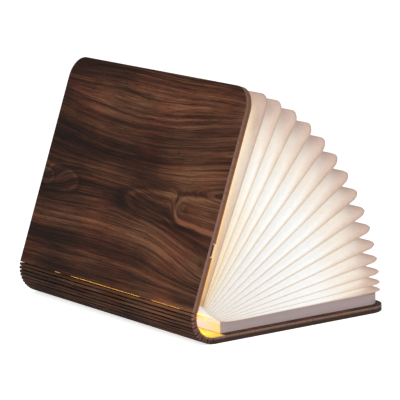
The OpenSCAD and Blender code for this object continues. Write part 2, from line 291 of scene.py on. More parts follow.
# The grain is drawn in millimetres on the front cover: u runs from the hinge to the fore-edge,
# v along the spine, and w through the plywood from its middle.
KNOT_U = 66  # the knots lie on one line along the spine
KNOT_V = -71  # the round knot near the open end


def walnut_group():
    """Walnut veneer with its years, knots and pores, and the scorched plies of its cut edges, with
    painted light and shade on the edges, in the open kerfs and on the lamplit back.
    """
    tree, n, given, out = group(
        "WalnutGrain",
        [
            ("Vector", VECTOR, None),
            ("Edge", FLOAT, 0.0),
            ("Kerf", FLOAT, 0.0),
            ("Char", FLOAT, 0.0),
            ("Lining", FLOAT, 0.0),
            ("Inside", FLOAT, 1.0),
            ("Scorch", FLOAT, 0.0),
        ],
        [("Color", COLOUR), ("Roughness", FLOAT), ("Height", FLOAT)],
    )
    u, v, w = (n.math("DIVIDE", side, MM) for side in n.split(given["Vector"]))
    waver, sag, dip = 7.0, 9.0, 20.0  # how far the years stray, in millimetres
    board = 160.0  # width of veneer that the broad years below are spread over

    def grain(place, fine_u, fine_v, seed, detail=2.0, roughness=0.5):
        """Noise that is drawn out along the spine, about zero."""
        at = n.vector(n.math("MULTIPLY", place, fine_u), n.math("MULTIPLY", v, fine_v), seed)
        return n.math("SUBTRACT", n.noise(at, 1.0, detail, roughness), 0.5)

    def off(place, centre, size):
        """How far a place is from the centre, in sizes."""
        return n.math("DIVIDE", n.math("SUBTRACT", place, centre), size)

    def squares(a, b):
        return n.math("ADD", n.math("MULTIPLY", a, a), n.math("MULTIPLY", b, b))

    def hump(size, centre, half_width, start, end):
        """A ridge along v at u = centre, which rises between v = start and v = end."""
        across = off(u, centre, half_width)
        ridge = n.math("EXPONENT", n.math("MULTIPLY", n.math("MULTIPLY", across, across), -1.0))
        return n.math("MULTIPLY", ridge, n.between(v, start, end, 0.0, size))

    # the years run along the spine, sag towards the middle and bend round the knots
    years = n.math("ADD", u, n.math("MULTIPLY", grain(u, 0.02, 0.008, 3.0, 1.0), waver))
    bow = off(v, 3.0, 105.0)
    bow = n.math("SUBTRACT", 1.0, n.math("MULTIPLY", bow, bow))
    upper = n.math("MULTIPLY", n.between(u, 68.0, 95.0), n.between(u, 150.0, 118.0))
    years = n.math("ADD", years, n.math("MULTIPLY", n.math("MULTIPLY", bow, upper), sag))
    lower = n.math("MULTIPLY", n.between(u, 2.0, 26.0), n.between(u, 68.0, 50.0))
    years = n.math("ADD", years, n.math("MULTIPLY", n.between(v, -22.0, -125.0, 0.0, dip), lower))
    for ridge in (
        (20.0, KNOT_U, 9.5, -51.0, -68.0),
        (12.0, KNOT_U, 10.5, 58.0, 108.0),
        (9.0, KNOT_U - 2, 15.0, 12.0, -45.0),
    ):
        years = n.math("ADD", years, hump(*ridge))
    # broad light and dark years, from the hinge to the fore-edge
    broad = n.ramp(
        n.math("DIVIDE", years, board),
        (0.0, (0.62, 0.62, 0.62)),
        (0.03, (0.4, 0.4, 0.4)),
        (0.1, (0.46, 0.46, 0.46)),
        (0.17, (0.33, 0.33, 0.33)),
        (0.25, (0.66, 0.66, 0.66)),
        (0.33, (0.5, 0.5, 0.5)),
        (0.4, (0.33, 0.33, 0.33)),
        (0.5, (0.52, 0.52, 0.52)),
        (0.64, (0.38, 0.38, 0.38)),
        (0.74, (0.5, 0.5, 0.5)),
        (0.88, (0.57, 0.57, 0.57)),
        (0.97, (0.36, 0.36, 0.36)),
    )
    lines = grain(years, 0.3, 0.006, 5.0, 3.0, 0.6)
    fine = grain(years, 1.2, 0.012, 9.0, 3.0, 0.65)
    hair = grain(years, 3.4, 0.07, 13.0, 2.0)
    cloud = grain(u, 0.018, 0.012, 21.0)
    tone = broad
    for part, weight in ((lines, 0.95), (fine, 0.85), (hair, 0.55), (cloud, 0.7)):
        tone = n.math("ADD", tone, n.math("MULTIPLY", part, weight))
    # the board is lighter towards its near end
    tone = n.math("ADD", tone, n.between(v, 70.0, -110.0, -0.09, 0.12))
    # pale loops round the knots, with a dark year outside each
    wobble = n.math("MULTIPLY", grain(u, 0.08, 0.05, 51.0), 3.0)
    wobbly_u = n.math("ADD", u, wobble)
    for middle_u, middle_v, half_u, long_v, light in (
        (KNOT_U, KNOT_V, 9.4, 11.3, 0.2),
        (KNOT_U - 1, -34, 8.5, 33.0, 0.13),
        (KNOT_U, 99, 5.0, -5.5, 0.16),
        (KNOT_U, 79, 8.0, -16.0, 0.12),
    ):
        off_v = off(v, middle_v, long_v)
        legs = n.math("MULTIPLY_ADD", n.math("MINIMUM", off_v, 0.0), -0.09, 1.0)
        off_u = n.math("DIVIDE", off(wobbly_u, middle_u, half_u), legs)
        away = n.math("SQRT", squares(off_u, n.math("MAXIMUM", off_v, 0.0)))
        ring = n.math("MULTIPLY", n.between(away, 0.72, 0.95), n.between(away, 1.16, 0.98))
        shade = n.math("MULTIPLY", n.between(away, 1.08, 1.22), n.between(away, 1.55, 1.3))
        tone = n.math("ADD", tone, n.math("MULTIPLY", ring, light))
        tone = n.math("SUBTRACT", tone, n.math("MULTIPLY", shade, light * 0.6))
    colour = n.ramp(
        tone,
        (0.1, (0.012, 0.0046, 0.0026)),
        (0.3, (0.031, 0.0112, 0.0062)),
        (0.46, (0.068, 0.0252, 0.0132)),
        (0.62, (0.136, 0.054, 0.027)),
        (0.85, (0.26, 0.118, 0.06)),
    )
    # the strips of the hinge are darker
    on_strips = n.between(u, -0.5, -1.5)
    colour = n.mix(on_strips, colour, n.tint(colour, (0.84, 0.92, 0.97)))
    # redder clouds in the veneer
    red = n.tint(colour, (1.1, 0.93, 0.92))
    colour = n.mix(n.between(grain(u, 0.024, 0.02, 27.0), -0.06, 0.1), colour, red)
    # dark growth lines, where two years meet
    streak = n.between(grain(years, 0.55, 0.006, 31.0), 0.06, 0.16)
    patch = n.between(grain(u, 0.03, 0.009, 37.0, 1.0), -0.06, 0.08)
    dark = n.math("MULTIPLY", streak, patch)
    # the pith of two knots, and a bruise in the middle of the board
    for spot_u, spot_v, size_u, size_v, strength in (
        (KNOT_U, KNOT_V, 2.6, 3.4, 0.8),
        (60, 5, 4.5, 11.0, 0.75),
        (33, -103, 2.4, 3.0, 0.9),
    ):
        away = squares(off(u, spot_u, size_u), off(v, spot_v, size_v))
        spot = n.math("MULTIPLY", n.math("EXPONENT", n.math("MULTIPLY", away, -1.0)), strength)
        dark = n.math("MAXIMUM", dark, spot)
    colour = n.mix(n.math("MULTIPLY", dark, 0.7), colour, (0.014, 0.0062, 0.004))
    pore = n.between(grain(years, 2.6, 0.16, 41.0, 1.0), 0.1, 0.18)
    colour = n.mix(n.math("MULTIPLY", pore, 0.45), colour, (0.011, 0.005, 0.0035))
    # a cut edge is scorched by the laser and shows the plies, with painted light and shade on them
    inner = n.math("MULTIPLY", w, given["Inside"])
    depth = n.between(inner, -PLYWOOD / 2 / MM, PLYWOOD / 2 / MM)
    # painted light on a lit edge: a mauve sheen on the outer ply, and the ply beside the pages lit
    # orange by their glow
    lit_edge = n.ramp(
        depth,
        (0.0, (0.3, 0.185, 0.155)),
        (0.2, (0.36, 0.2, 0.155)),
        (0.36, (0.24, 0.118, 0.084)),
        (0.5, (0.33, 0.16, 0.115)),
        (0.68, (0.2, 0.082, 0.05)),
        (0.86, (0.31, 0.115, 0.04)),
        (1.0, (0.5, 0.2, 0.06)),
    )
    # the same plies painted in shade, lighter towards the inner ply where the pages light them
    shaded_edge = n.ramp(
        depth,
        (0.0, (0.04, 0.024, 0.018)),
        (0.2, (0.075, 0.042, 0.032)),
        (0.4, (0.05, 0.028, 0.021)),
        (0.6, (0.08, 0.044, 0.032)),
        (0.74, (0.19, 0.1, 0.066)),
        (0.9, (0.3, 0.18, 0.125)),
        (1.0, (0.34, 0.22, 0.18)),
    )
    # Scorch paints the edges and their soot in shade: 0 lit at the front cover, 1 shaded at the back
    burnt_and_lit = n.mix(given["Scorch"], lit_edge, shaded_edge)
    sooty = n.mix(given["Scorch"], (0.14, 0.066, 0.045), (0.04, 0.022, 0.016))
    burnt_and_lit = n.mix(n.between(fine, -0.1, 0.2, 0.0, 0.5), burnt_and_lit, sooty)
    # the painted light on the lit edges fades towards the fore-edge
    edge_lit = n.math("SUBTRACT", 1.0, given["Scorch"])
    dull = n.math("MULTIPLY", n.between(u, 90.0, 150.0, 0.0, 0.35), edge_lit)
    burnt_and_lit = n.mix(dull, burnt_and_lit, (0.11, 0.06, 0.045))
    # kerf walls stay brown where bridges hold them shut; where a kerf gapes they are charred, and
    # painted near black for the shade deep in the open slot
    burnt_and_lit = n.mix(given["Kerf"], burnt_and_lit, (0.13, 0.073, 0.052))
    burnt_and_lit = n.mix(given["Char"], burnt_and_lit, (0.011, 0.006, 0.004))
    # the back of the plywood is a pale veneer, painted yellow with the light bar's light
    lamplit_veneer = n.mix(n.between(fine, -0.2, 0.2), (0.5, 0.36, 0.1), (0.6, 0.44, 0.14))
    colour = n.mix(given["Lining"], colour, lamplit_veneer)
    colour = n.mix(given["Edge"], colour, burnt_and_lit)
    n.feed(out["Color"], colour)
    rough = n.math("ADD", 0.52, n.math("MULTIPLY", lines, 0.3))
    n.feed(out["Roughness"], n.math("ADD", rough, n.math("MULTIPLY", pore, 0.15)))
    n.feed(out["Height"], n.math("SUBTRACT", fine, n.math("MULTIPLY", pore, 0.6)))
    return tree


walnut_tree = walnut_group()

# How far from the middle of the spine a kerf is held shut, and how far it gapes. The bridges of
# even kerfs stand off the middle, and those of odd kerfs in the middle and at the ends.
EVEN_GAPE = (42 * MM, 22 * MM)
EVEN_END_GAPE = (56 * MM, 75 * MM)
ODD_GAPE = (6 * MM, 30 * MM)
ODD_END_GAPE = (101 * MM, 80 * MM)
HOLLOW_FADE = 1 * MM  # behind the back block, where the pale lining sets in
END_FADE = 4 * MM  # from the open ends, where the lining glows less


def walnut(name, origin, angle, start, inside, even_side=-1, strip=0.0, edge_shade=0.0, lined=True):
    """Walnut on a plate that leans by angle. start is how far the grain has run at the origin,
    inside is the side of the plate that faces the pages, and even_side the side of a kerf with
    an even number. strip is 1 on a strip of the hinge, with kerfs on both sides, and edge_shade
    paints the cut edges from lit (0) to shaded (1). lined says that the pale back of the plywood
    shows in the hollow of the spine, where it is painted with the light bar's yellow light and
    glows."""
    made, n, shader = material(name)
    here = n.here()
    location = (origin[0] - start * math.cos(angle), 0.0, origin[1] - start * math.sin(angle))
    rotation = (0.0, -angle, 0.0)
    side = n.split(n.laid(here["Normal"], rotation))
    x, y, _ = n.split(here["Object"])
    kerf_side = n.math("MULTIPLY", side["X"], even_side)
    even = n.between(kerf_side, 0.7, 0.95)
    odd = n.between(kerf_side, -0.7, -0.95, 0.0, strip)
    from_middle = n.math("ABSOLUTE", y)
    even_gape = n.math(
        "ADD",
        n.between(from_middle, *EVEN_GAPE),
        n.between(from_middle, *EVEN_END_GAPE, 0.0, 0.5),
    )
    odd_gape = n.math(
        "MULTIPLY",
        n.between(from_middle, *ODD_GAPE),
        n.between(from_middle, *ODD_END_GAPE),
    )
    lining = 0.0
    if lined:
        hollow = n.between(x, BLOCK_EDGE, BLOCK_EDGE - HOLLOW_FADE)
        inner_face = n.between(n.math("MULTIPLY", side["Z"], inside), 0.6, 0.9)
        lining = n.math("MULTIPLY", inner_face, hollow)
        # painted glow: the light bar's yellow light on the lining, weaker near the open ends
        lit = n.math(
            "MULTIPLY",
            lining,
            n.between(from_middle, HALF_LENGTH, HALF_LENGTH - END_FADE, 0.2, 1.0),
        )
        light_up(n, shader, n.mix(lit, (0.0, 0.0, 0.0), (0.36, 0.22, 0.012)))
    grain = use_group(
        n,
        walnut_tree,
        {
            "Vector": n.laid(here["Object"], rotation, location),
            "Edge": n.between(n.math("ABSOLUTE", side["Z"]), 0.45, 0.75, 1.0, 0.0),
            "Kerf": n.math("ADD", even, odd),
            # painted shade deep in the kerfs where they gape, together with their char
            "Char": n.math("MULTIPLY_ADD", even, even_gape, n.math("MULTIPLY", odd, odd_gape)),
            "Lining": lining,
            "Inside": inside,
            "Scorch": edge_shade,
        },
    )
    n.feed(shader.inputs["Base Color"], grain["Color"])
    n.feed(shader.inputs["Roughness"], grain["Roughness"])
    roughen(n, shader, grain["Height"], 0.25, 0.2 * MM)
    shader.inputs["Specular IOR Level"].default_value = 0.13
    return made


def hinge_line(number):
    """Pivot of a kerf line: 0 at the back cover, STRIPS at the front cover."""
    strip = number + 1 if number < STRIPS / 2 else number
    x, _, z = joints[f"strip_{strip}_bend"]["pos_m"]
    return x, z


PITCH = math.dist(hinge_line(0), hinge_line(1))
SPINE = STRIPS * PITCH
STRIP_TURN = (math.pi - OPENING) / (STRIPS + 1)
# the frame holds the lines of the first half, and the others go on along the same bend
kerf_lines = [hinge_line(i) for i in range(STRIPS // 2)]
while len(kerf_lines) <= STRIPS:
    bend = len(kerf_lines) * STRIP_TURN
    x, z = kerf_lines[-1]
    kerf_lines.append((x - PITCH * math.cos(bend), z + PITCH * math.sin(bend)))


def dress(node, made):
    """Gives a solid its finish, in place of the plain one."""
    obj = frame["nodes"][node]
    obj.data.materials.clear()
    obj.data.materials.append(made)


def finished(shape, name, made):
    """Makes a bmesh a piece with that finish."""
    mesh = bpy.data.meshes.new(name)
    shape.to_mesh(mesh)
    shape.free()
    mesh.materials.append(made)
    obj = bpy.data.objects.new(name, mesh)
    bpy.context.scene.collection.objects.link(obj)
    return obj


BACK_START = 250 * MM  # the back cover is cut from further along the same veneer
front_walnut = walnut("walnut_front", kerf_lines[STRIPS], OPENING, 0.0, -1, lined=False)
dress("front_cover", front_walnut)
# the back cover's cut edges are painted in shade
dress("back_cover", walnut("walnut_back", kerf_lines[0], 0.0, SPINE + BACK_START, 1, edge_shade=1.0))
for i in range(1, STRIPS + 1):
    strip_walnut = walnut(
        f"walnut_strip_{i}",
        kerf_lines[i - 1],
        angle=math.pi - i * STRIP_TURN,
        start=(i - 1) * PITCH - SPINE,
        inside=-1,
        even_side=1 if i % 2 == 0 else -1,
        strip=1.0,
        # painted edge shade, from shaded beside the back cover to lit beside the front
        edge_shade=1 - i / STRIPS,
    )
    dress(f"hinge_strip_{i}", strip_walnut)

# The kerf beside the front cover narrows towards its open ends, so no light comes through.
KERF_FILL = 0.3 * MM
KERF_FILL_INSIDE = -1.3 * MM  # from the middle of the plywood
KERF_FILL_OUTSIDE = 1.9 * MM
FAR_FILL_START = 66 * MM
NEAR_FILL_END = -92 * MM
cover_end = [p.x for p in closed_points("back_cover", 0) if p.y > HALF_LENGTH - SAME_FACE]
COVER_EDGE = min(cover_end) - kerf_lines[0][0]


def kerf_end(name, y0, y1):
    """Wood along the front cover's edge in the last kerf, from y0 to y1."""
    x, z = kerf_lines[STRIPS]
    shape = bmesh.new()
    bmesh.ops.create_cube(shape, size=1.0)
    for vertex in shape.verts:
        u = COVER_EDGE - KERF_FILL * (0.5 + vertex.co.x)
        w = KERF_FILL_INSIDE + (KERF_FILL_OUTSIDE - KERF_FILL_INSIDE) * (vertex.co.z + 0.5)
        y = y0 + (y1 - y0) * (vertex.co.y + 0.5)
        along, up = turned(x + u, z + w, x, z, OPENING)
        vertex.co = (along, y, up)
    obj = finished(shape, name, front_walnut)
    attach(obj, "front_half")


kerf_end("kerf_end_far", FAR_FILL_START, HALF_LENGTH)
kerf_end("kerf_end_near", -HALF_LENGTH, NEAR_FILL_END)

# ---- paper ----


def paper_group():
    """Paper that is lit from behind, its light painted in as glow and as colour: white deep in the
    folds, tan with painted shade at the folded edges.
    """
    tree, n, given, out = group(
        "GlowingPaper",
        [
            ("Vector", VECTOR, None),
            ("Depth", FLOAT, 0.0),
            ("Reach", FLOAT, 0.0),
            ("Rise", FLOAT, 0.0),
        ],
        [("Color", COLOUR), ("Glow", COLOUR), ("Height", FLOAT)],
    )
    crease_depth, crisp_fold, soft_fold = 1.2, 2.0, 13.0  # millimetres into the fold
    fibre = n.noise(given["Vector"], 420.0, 3.0, 0.65, 0.6)
    clouds = n.noise(given["Vector"], 60.0, 2.0, 0.5)
    reach = n.math("ADD", given["Reach"], n.between(clouds, 0.3, 0.7, -0.02, 0.02))
    far = n.between(reach, 0.6, 1.0)
    fold_width = n.math("MULTIPLY_ADD", far, soft_fold - crisp_fold, crisp_fold)
    inside = n.between(n.math("DIVIDE", given["Depth"], fold_width), 0.0, 1.0)
    deep_glow = n.ramp(
        reach,
        (0.0, (0.34, 0.34, 0.33)),
        (0.6, (0.385, 0.385, 0.375)),
        (0.82, (0.39, 0.345, 0.29)),
        (1.0, (0.26, 0.2, 0.17)),
    )
    fold_glow = n.ramp(
        reach,
        (0.0, (0.26, 0.2, 0.12)),
        (0.35, (0.28, 0.24, 0.18)),
        (0.6, (0.31, 0.28, 0.24)),
        (0.78, (0.26, 0.225, 0.175)),
        (0.9, (0.17, 0.122, 0.086)),
        (1.0, (0.14, 0.092, 0.086)),
    )
    glow = n.mix(inside, fold_glow, deep_glow)
    # the light is warmest where it leaves the spine beside the front cover
    beside = n.math("MULTIPLY", n.between(given["Rise"], 0.6, 1.0), n.between(reach, 0.85, 0.1))
    glow = n.mix(beside, glow, n.tint(glow, (1.12, 0.84, 0.42)))
    # the last sheet is brightest where it meets the front block, and dull at its free edge
    last = n.between(given["Rise"], 1 - 1.0 / FOLDS, 1 - 0.35 / FOLDS)
    side = n.mix(last, (0.6, 0.41, 0.35), (1.75, 1.62, 1.3))
    is_last = n.math("GREATER_THAN", given["Rise"], 1 - 0.98 / FOLDS)
    n.feed(out["Glow"], n.mix(is_last, glow, n.tint(glow, side)))
    # painted shade: the folded edges are tan, pinker far from the spine
    shaded_fold_paper = n.mix(far, (0.66, 0.6, 0.54), (0.62, 0.48, 0.41))
    paper = n.mix(inside, shaded_fold_paper, (0.62, 0.62, 0.62))
    # painted shade: a darker tan line in each crease, strongest near the spine
    at_crease = n.between(given["Depth"], crease_depth, 0.0)
    crease_shade = n.math("MULTIPLY", at_crease, n.between(reach, 0.7, 0.2, 0.35, 0.6))
    paper = n.mix(crease_shade, paper, (0.46, 0.32, 0.2))
    speck = n.tint(paper, (0.93, 0.925, 0.92))
    n.feed(out["Color"], n.mix(n.between(fibre, 0.4, 0.7), paper, speck))
    n.feed(out["Height"], fibre)
    return tree


paper_tree = paper_group()


def paper(name):
    made, n, shader = material(name)
    sheet = use_group(
        n,
        paper_tree,
        {
            "Vector": n.here()["Object"],
            "Depth": n.attribute("depth_mm"),
            "Reach": n.attribute("reach"),
            "Rise": n.attribute("rise"),
        },
    )
    n.feed(shader.inputs["Base Color"], sheet["Color"])
    light_up(n, shader, sheet["Glow"])
    roughen(n, shader, sheet["Height"], 0.12, 0.1 * MM)
    shader.inputs["Roughness"].default_value = 0.72
    shader.inputs["Specular IOR Level"].default_value = 0.25
    return made


page_paper = paper("page_paper")
AMBER_END = 78 * MM  # how far along the spine the web is amber
WHITE_END = 90 * MM  # and from where it is white
FAR_END_SHIFT = 9 * MM  # both are further out on the far side


def web_glow():
    """The web along the spine, painted with glowing light: white at its open ends, amber between
    them.
    """
    made = paper("web_paper")
    n, shader = opened_up(made)
    along = n.split(n.here()["Object"])["Y"]
    near_side = n.math("MULTIPLY", along, -1.0)
    far_side = n.math("SUBTRACT", along, FAR_END_SHIFT)
    amber = n.between(n.math("MAXIMUM", far_side, near_side), WHITE_END, AMBER_END)
    white = n.ramp(
        n.attribute("rise"),
        (0.0, (0.48, 0.42, 0.36)),
        (0.3, (0.46, 0.44, 0.44)),
        (0.6, (0.43, 0.46, 0.52)),
        (1.0, (0.4, 0.48, 0.64)),
    )
    light_up(n, shader, n.mix(amber, white, (0.9, 0.36, 0.06)))
    return made


web_paper = web_glow()

# the folds stop short of the diffuser, which stands between their inner edges
DIFFUSER_GAP = 1.6 * MM
SIDE_SHARE = (PAGE_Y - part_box("diffuser")[1].y - DIFFUSER_GAP) / PLEAT_DEPTH
FOLD_ROUNDNESS = 0.42  # lower is rounder at the pages' edges
EDGE_CROWDING = 1.9  # higher sets more of the mesh's rows near the pages' edges
RUN_STEPS = 90
CREASE_STEPS = 12
PAPER_THICK = 0.06 * MM
VALLEY_CORNER = 12 * MM
FORE_SHARE = 0.3  # share of half a sheet's outline that its half of the fore-edge takes
CORNER_SHARE = 0.2  # and that its corner takes
SPINE_LIFT = 0.55  # share of the stack that the glued spine ends are pressed up by
SPINE_LIFT_FADE = 6 * MM  # how far from the spine that is felt
PAGE_BULGE = 2.1 * MM  # how much further out the upper pages of the fan reach
PAGE_TUCK = 1.6 * MM  # how much less far the lowest ones do
SPINE_PULL = 3 * MM  # how far the last spine end is drawn in towards the hinge


def spine_x(level):
    """Where the sheets end at the spine; level is 0 on the back block, FOLDS on the front."""
    return PAGE_X0 - SPINE_PULL * level / FOLDS


def sheet_height(level, x):
    """Height in the closed book of a point that lies between the pages at that level."""
    k = min(int(level), FOLDS - 1)
    z = PAGE_Z[k] + (level - k) * (PAGE_Z[k + 1] - PAGE_Z[k])
    room = PAGE_Z[FOLDS] - PAGE_Z[0]
    first = min(level, 1.0) * SPINE_LIFT
    pressed = PAGE_Z[0] + room * (first + (1 - SPINE_LIFT) * level / FOLDS)
    near = math.exp(-max(0.0, x - spine_x(level)) / SPINE_LIFT_FADE)
    return z + (pressed - z) * near


def sheet_place(run, depth, level):
    """Point of a page's outline, run along it from 0 to 1 and set in by depth."""
    shrink = depth / PLEAT_DEPTH
    corner = PAGE_CORNER + (VALLEY_CORNER - PAGE_CORNER) * shrink
    rise = level / FOLDS
    bulge = PAGE_BULGE * math.sin(math.pi * rise**2.2) - PAGE_TUCK * (1 - rise) ** 2
    x1, y1 = PAGE_X1 + bulge - depth, PAGE_Y - depth * SIDE_SHARE
    half = abs(run - 0.5) * 2  # 0 in the middle of the fore-edge, 1 at the spine
    side = -1 if run < 0.5 else 1
    if half < FORE_SHARE:
        return x1, side * (y1 - corner) * half / FORE_SHARE
    if half < FORE_SHARE + CORNER_SHARE:
        angle = (half - FORE_SHARE) / CORNER_SHARE * math.pi / 2
        round_y = y1 - corner + corner * math.sin(angle)
        return x1 - corner + corner * math.cos(angle), side * round_y
    to_spine = (half - FORE_SHARE - CORNER_SHARE) / (1 - FORE_SHARE - CORNER_SHARE)
    return (x1 - corner) + (spine_x(level) - (x1 - corner)) * to_spine, side * y1


def write_values(mesh, name, values):
    """Stores one value for each point of the mesh."""
    attribute = mesh.attributes.new(name, "FLOAT", "POINT")
    attribute.data.foreach_set("value", values)


def paper_piece(name, k, run_steps, across_steps, place, made):
    """A sheet between page k - 1 and page k. place turns (run, across) into x and y in the
    closed book, a share of the way between the pages and a depth in the fold."""
    shape = bmesh.new()
    bmesh.ops.create_grid(shape, x_segments=run_steps, y_segments=across_steps, size=0.5)
    shares, depths, reaches = [], [], []
    for vertex in shape.verts:
        run, across = vertex.co.x + 0.5, vertex.co.y + 0.5
        x, y, share, depth = place(run, across)
        vertex.co = opened(k, share, x, y, sheet_height(k - 1 + share, x))
        shares.append(share)
        depths.append(depth / MM)
        reaches.append((x - PAGE_X0) / (PAGE_X1 - PAGE_X0))
    bmesh.ops.recalc_face_normals(shape, faces=shape.faces)
    for face in shape.faces:
        face.smooth = True
    obj = finished(shape, name, made)
    write_values(obj.data, "depth_mm", depths)
    write_values(obj.data, "reach", reaches)
    write_values(obj.data, "rise", [(k - 1 + share) / FOLDS for share in shares])
    thick = obj.modifiers.new("paper", "SOLIDIFY")
    thick.thickness = PAPER_THICK
    thick.offset = 0.0
    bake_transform(obj)
    return obj


def fold_place(k):
    """Where the points of fold k lie: from one page's edge in to the valley, and out to the next."""

    def place(run, across):
        if k == 1:
            across = 0.5 + across / 2
        elif k == FOLDS:
            across = across / 2
        inward = (1 - abs(1 - 2 * across)) ** EDGE_CROWDING
        depth = PLEAT_DEPTH * inward
        span = 1.0 if k in (1, FOLDS) else 0.5
        share = span * inward**FOLD_ROUNDNESS
        if across > 0.5 or k == 1:
            share = 1 - share
        x, y = sheet_place(run, depth, k - 1 + share)
        return x, y, share, depth

    return place


WEB_RUN_STEPS = 24
WEB_STEPS = 3
WEB_GAP = 0.2 * MM
WEB_DEPTH = 30 * MM  # the web is shaded like the paper this deep in a fold


def web_place(k):
    """Where the points of web k lie: along the spine, behind fold k."""

    def place(run, across):
        return spine_x(k - 1 + across) - WEB_GAP, (2 * run - 1) * PAGE_Y, across, WEB_DEPTH

    return place


for k in range(1, FOLDS + 1):
    halves = 1 if k in (1, FOLDS) else 2
    fold = paper_piece(f"fold_{k}", k, RUN_STEPS, CREASE_STEPS * halves, fold_place(k), page_paper)
    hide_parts(f"pleat_{k}")
    if k < FOLDS:
        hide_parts(f"page_{k}")
    web = paper_piece(f"web_{k}", k, WEB_RUN_STEPS, WEB_STEPS, web_place(k), web_paper)
    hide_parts("spine_web")

# ---- blocks and what is in them ----


def moulded(name, colour, roughness, metallic=0.0, glow=None):
    """A moulded, plated or printed surface with fine uneven colour and gloss."""
    made, n, shader = material(name)
    here = n.here()["Object"]
    clouds = n.noise(here, 90.0, 3.0, 0.6)
    grain = n.noise(here, 1400.0, 2.0, 0.6)
    dull, speck = (tuple(c * share for c in colour) for share in (0.94, 0.88))
    tone = n.mix(n.between(clouds, 0.3, 0.7), dull, colour)
    tone = n.mix(n.between(grain, 0.4, 0.7, 0.0, 0.3), tone, speck)
    gloss = n.between(clouds, 0.2, 0.8, roughness - 0.06, roughness + 0.08)
    n.feed(shader.inputs["Base Color"], tone)
    n.feed(shader.inputs["Roughness"], gloss)
    roughen(n, shader, grain, 0.08, 0.1 * MM)
    shader.inputs["Metallic"].default_value = metallic
    if glow:
        brighter = tuple(min(1, c * 1.1) for c in glow)
        light_up(n, shader, n.mix(n.between(clouds, 0.2, 0.8), glow, brighter))
    return made


def back_block_finish():
    """The light bar stands just inside the back block's spine wall, and shines through it."""
    end_fade = 25 * MM  # the wall's painted glow is yellow at its ends, and blue this far in
    made = moulded("block_shell", (0.66, 0.535, 0.535), 0.6)
    n, shader = opened_up(made)
    here = n.here()
    spine_wall = n.between(n.split(here["Normal"])["X"], -0.6, -0.95)
    from_middle = n.math("ABSOLUTE", n.split(here["Object"])["Y"])
    from_end = n.math("SUBTRACT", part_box("back_tray")[1].y, from_middle)
    lit = n.ramp(
        n.math("DIVIDE", from_end, end_fade),
        (0.0, (0.62, 0.35, 0.02)),
        (0.16, (0.58, 0.38, 0.1)),
        (0.4, (0.5, 0.39, 0.28)),
        (0.7, (0.44, 0.42, 0.43)),
        (1.0, (0.38, 0.43, 0.56)),
    )
    light_up(n, shader, n.mix(spine_wall, (0.0, 0.0, 0.0), lit))
    return made


def on_front(point):
    """A point's place along, across and above the front cover, from its hinge line."""
    x, z = kerf_lines[STRIPS]
    along, up = turned(point.x, point.z, x, z, -OPENING)
    return along - x, point.y, up - z


def front_block_finish():
    """The front block glows with painted light on its sides, warmer towards the hinge, round the
    dull rim and the mouth of the charging socket, painted dark as the shade in it."""
    soft_depth = 4.95 * MM  # the glow is softest this far from the cover
    rim, mouth = 0.9 * MM, -0.2 * MM  # how far they reach past the socket's sides
    rim_blur, mouth_blur = 0.6 * MM, 0.5 * MM
    rim_low, rim_high = -1.15 * MM, -0.65 * MM  # from the socket's underside
    mouth_low, mouth_high = -0.65 * MM, -0.25 * MM
    socket = [on_front(v.co) for v in frame["nodes"]["usb_socket"].data.vertices]
    socket_x0, socket_x1 = min(p[0] for p in socket), max(p[0] for p in socket)
    socket_z0 = min(p[2] for p in socket)
    made = moulded("front_shell", (0.74, 0.6, 0.53), 0.6)
    n, shader = opened_up(made)
    here = n.here()["Object"]
    low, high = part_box("front_tray")
    height = n.between(n.split(here)["Z"], low.z, high.z)
    hinge_x, hinge_z = kerf_lines[STRIPS]
    along, _, up = n.split(n.laid(here, (0.0, -OPENING, 0.0), (hinge_x, 0.0, hinge_z)))
    bright = n.ramp(
        height,
        (0.0, (0.85, 0.55, 0.16)),
        (0.15, (0.66, 0.4, 0.17)),
        (0.45, (0.62, 0.47, 0.28)),
        (0.8, (0.6, 0.48, 0.32)),
        (1.0, (0.28, 0.19, 0.16)),
    )
    soft = n.ramp(
        height,
        (0.0, (0.62, 0.32, 0.08)),
        (0.15, (0.38, 0.18, 0.09)),
        (0.5, (0.33, 0.19, 0.11)),
        (0.8, (0.38, 0.25, 0.17)),
        (1.0, (0.15, 0.1, 0.1)),
    )
    glow = n.mix(n.between(up, -PLYWOOD / 2, -PLYWOOD / 2 - soft_depth), bright, soft)
    off_centre = n.math("SUBTRACT", along, (socket_x0 + socket_x1) / 2)
    from_centre = n.math("ABSOLUTE", off_centre)

    def around_socket(past, blur, below, above):
        """1 at the socket and as far past its sides, from below its underside to the cover."""
        reach = (socket_x1 - socket_x0) / 2 + past
        beside = n.between(from_centre, reach, reach - blur)
        return n.math("MULTIPLY", beside, n.between(up, socket_z0 + below, socket_z0 + above))

    at_rim = around_socket(rim, rim_blur, rim_low, rim_high)
    mouth_shade = around_socket(mouth, mouth_blur, mouth_low, mouth_high)
    shell = shader.inputs["Base Color"].links[0].from_socket
    # painted shade: the socket's mouth is painted near black, a little past the hole in the shell
    port = n.mix(mouth_shade, (0.42, 0.22, 0.16), (0.05, 0.022, 0.016))
    n.feed(shader.inputs["Base Color"], n.mix(at_rim, shell, port))
    light_up(n, shader, n.mix(at_rim, glow, (0.0, 0.0, 0.0)))
    return made


def socket_finish():
    """The socket's metal, dull in this light and painted dark as in shade, with painted shade for
    the hollow at its near end.
    """
    made = moulded("socket_metal", (0.6, 0.6, 0.62), 0.3, metallic=1.0)
    n, shader = opened_up(made)
    # painted shade: the near end faces are painted near black, as the socket's hollow
    mouth = n.between(n.split(n.here()["Normal"])["Y"], -0.5, -0.9)
    n.feed(shader.inputs["Base Color"], n.mix(mouth, (0.1, 0.06, 0.05), (0.02, 0.012, 0.01)))
    return made


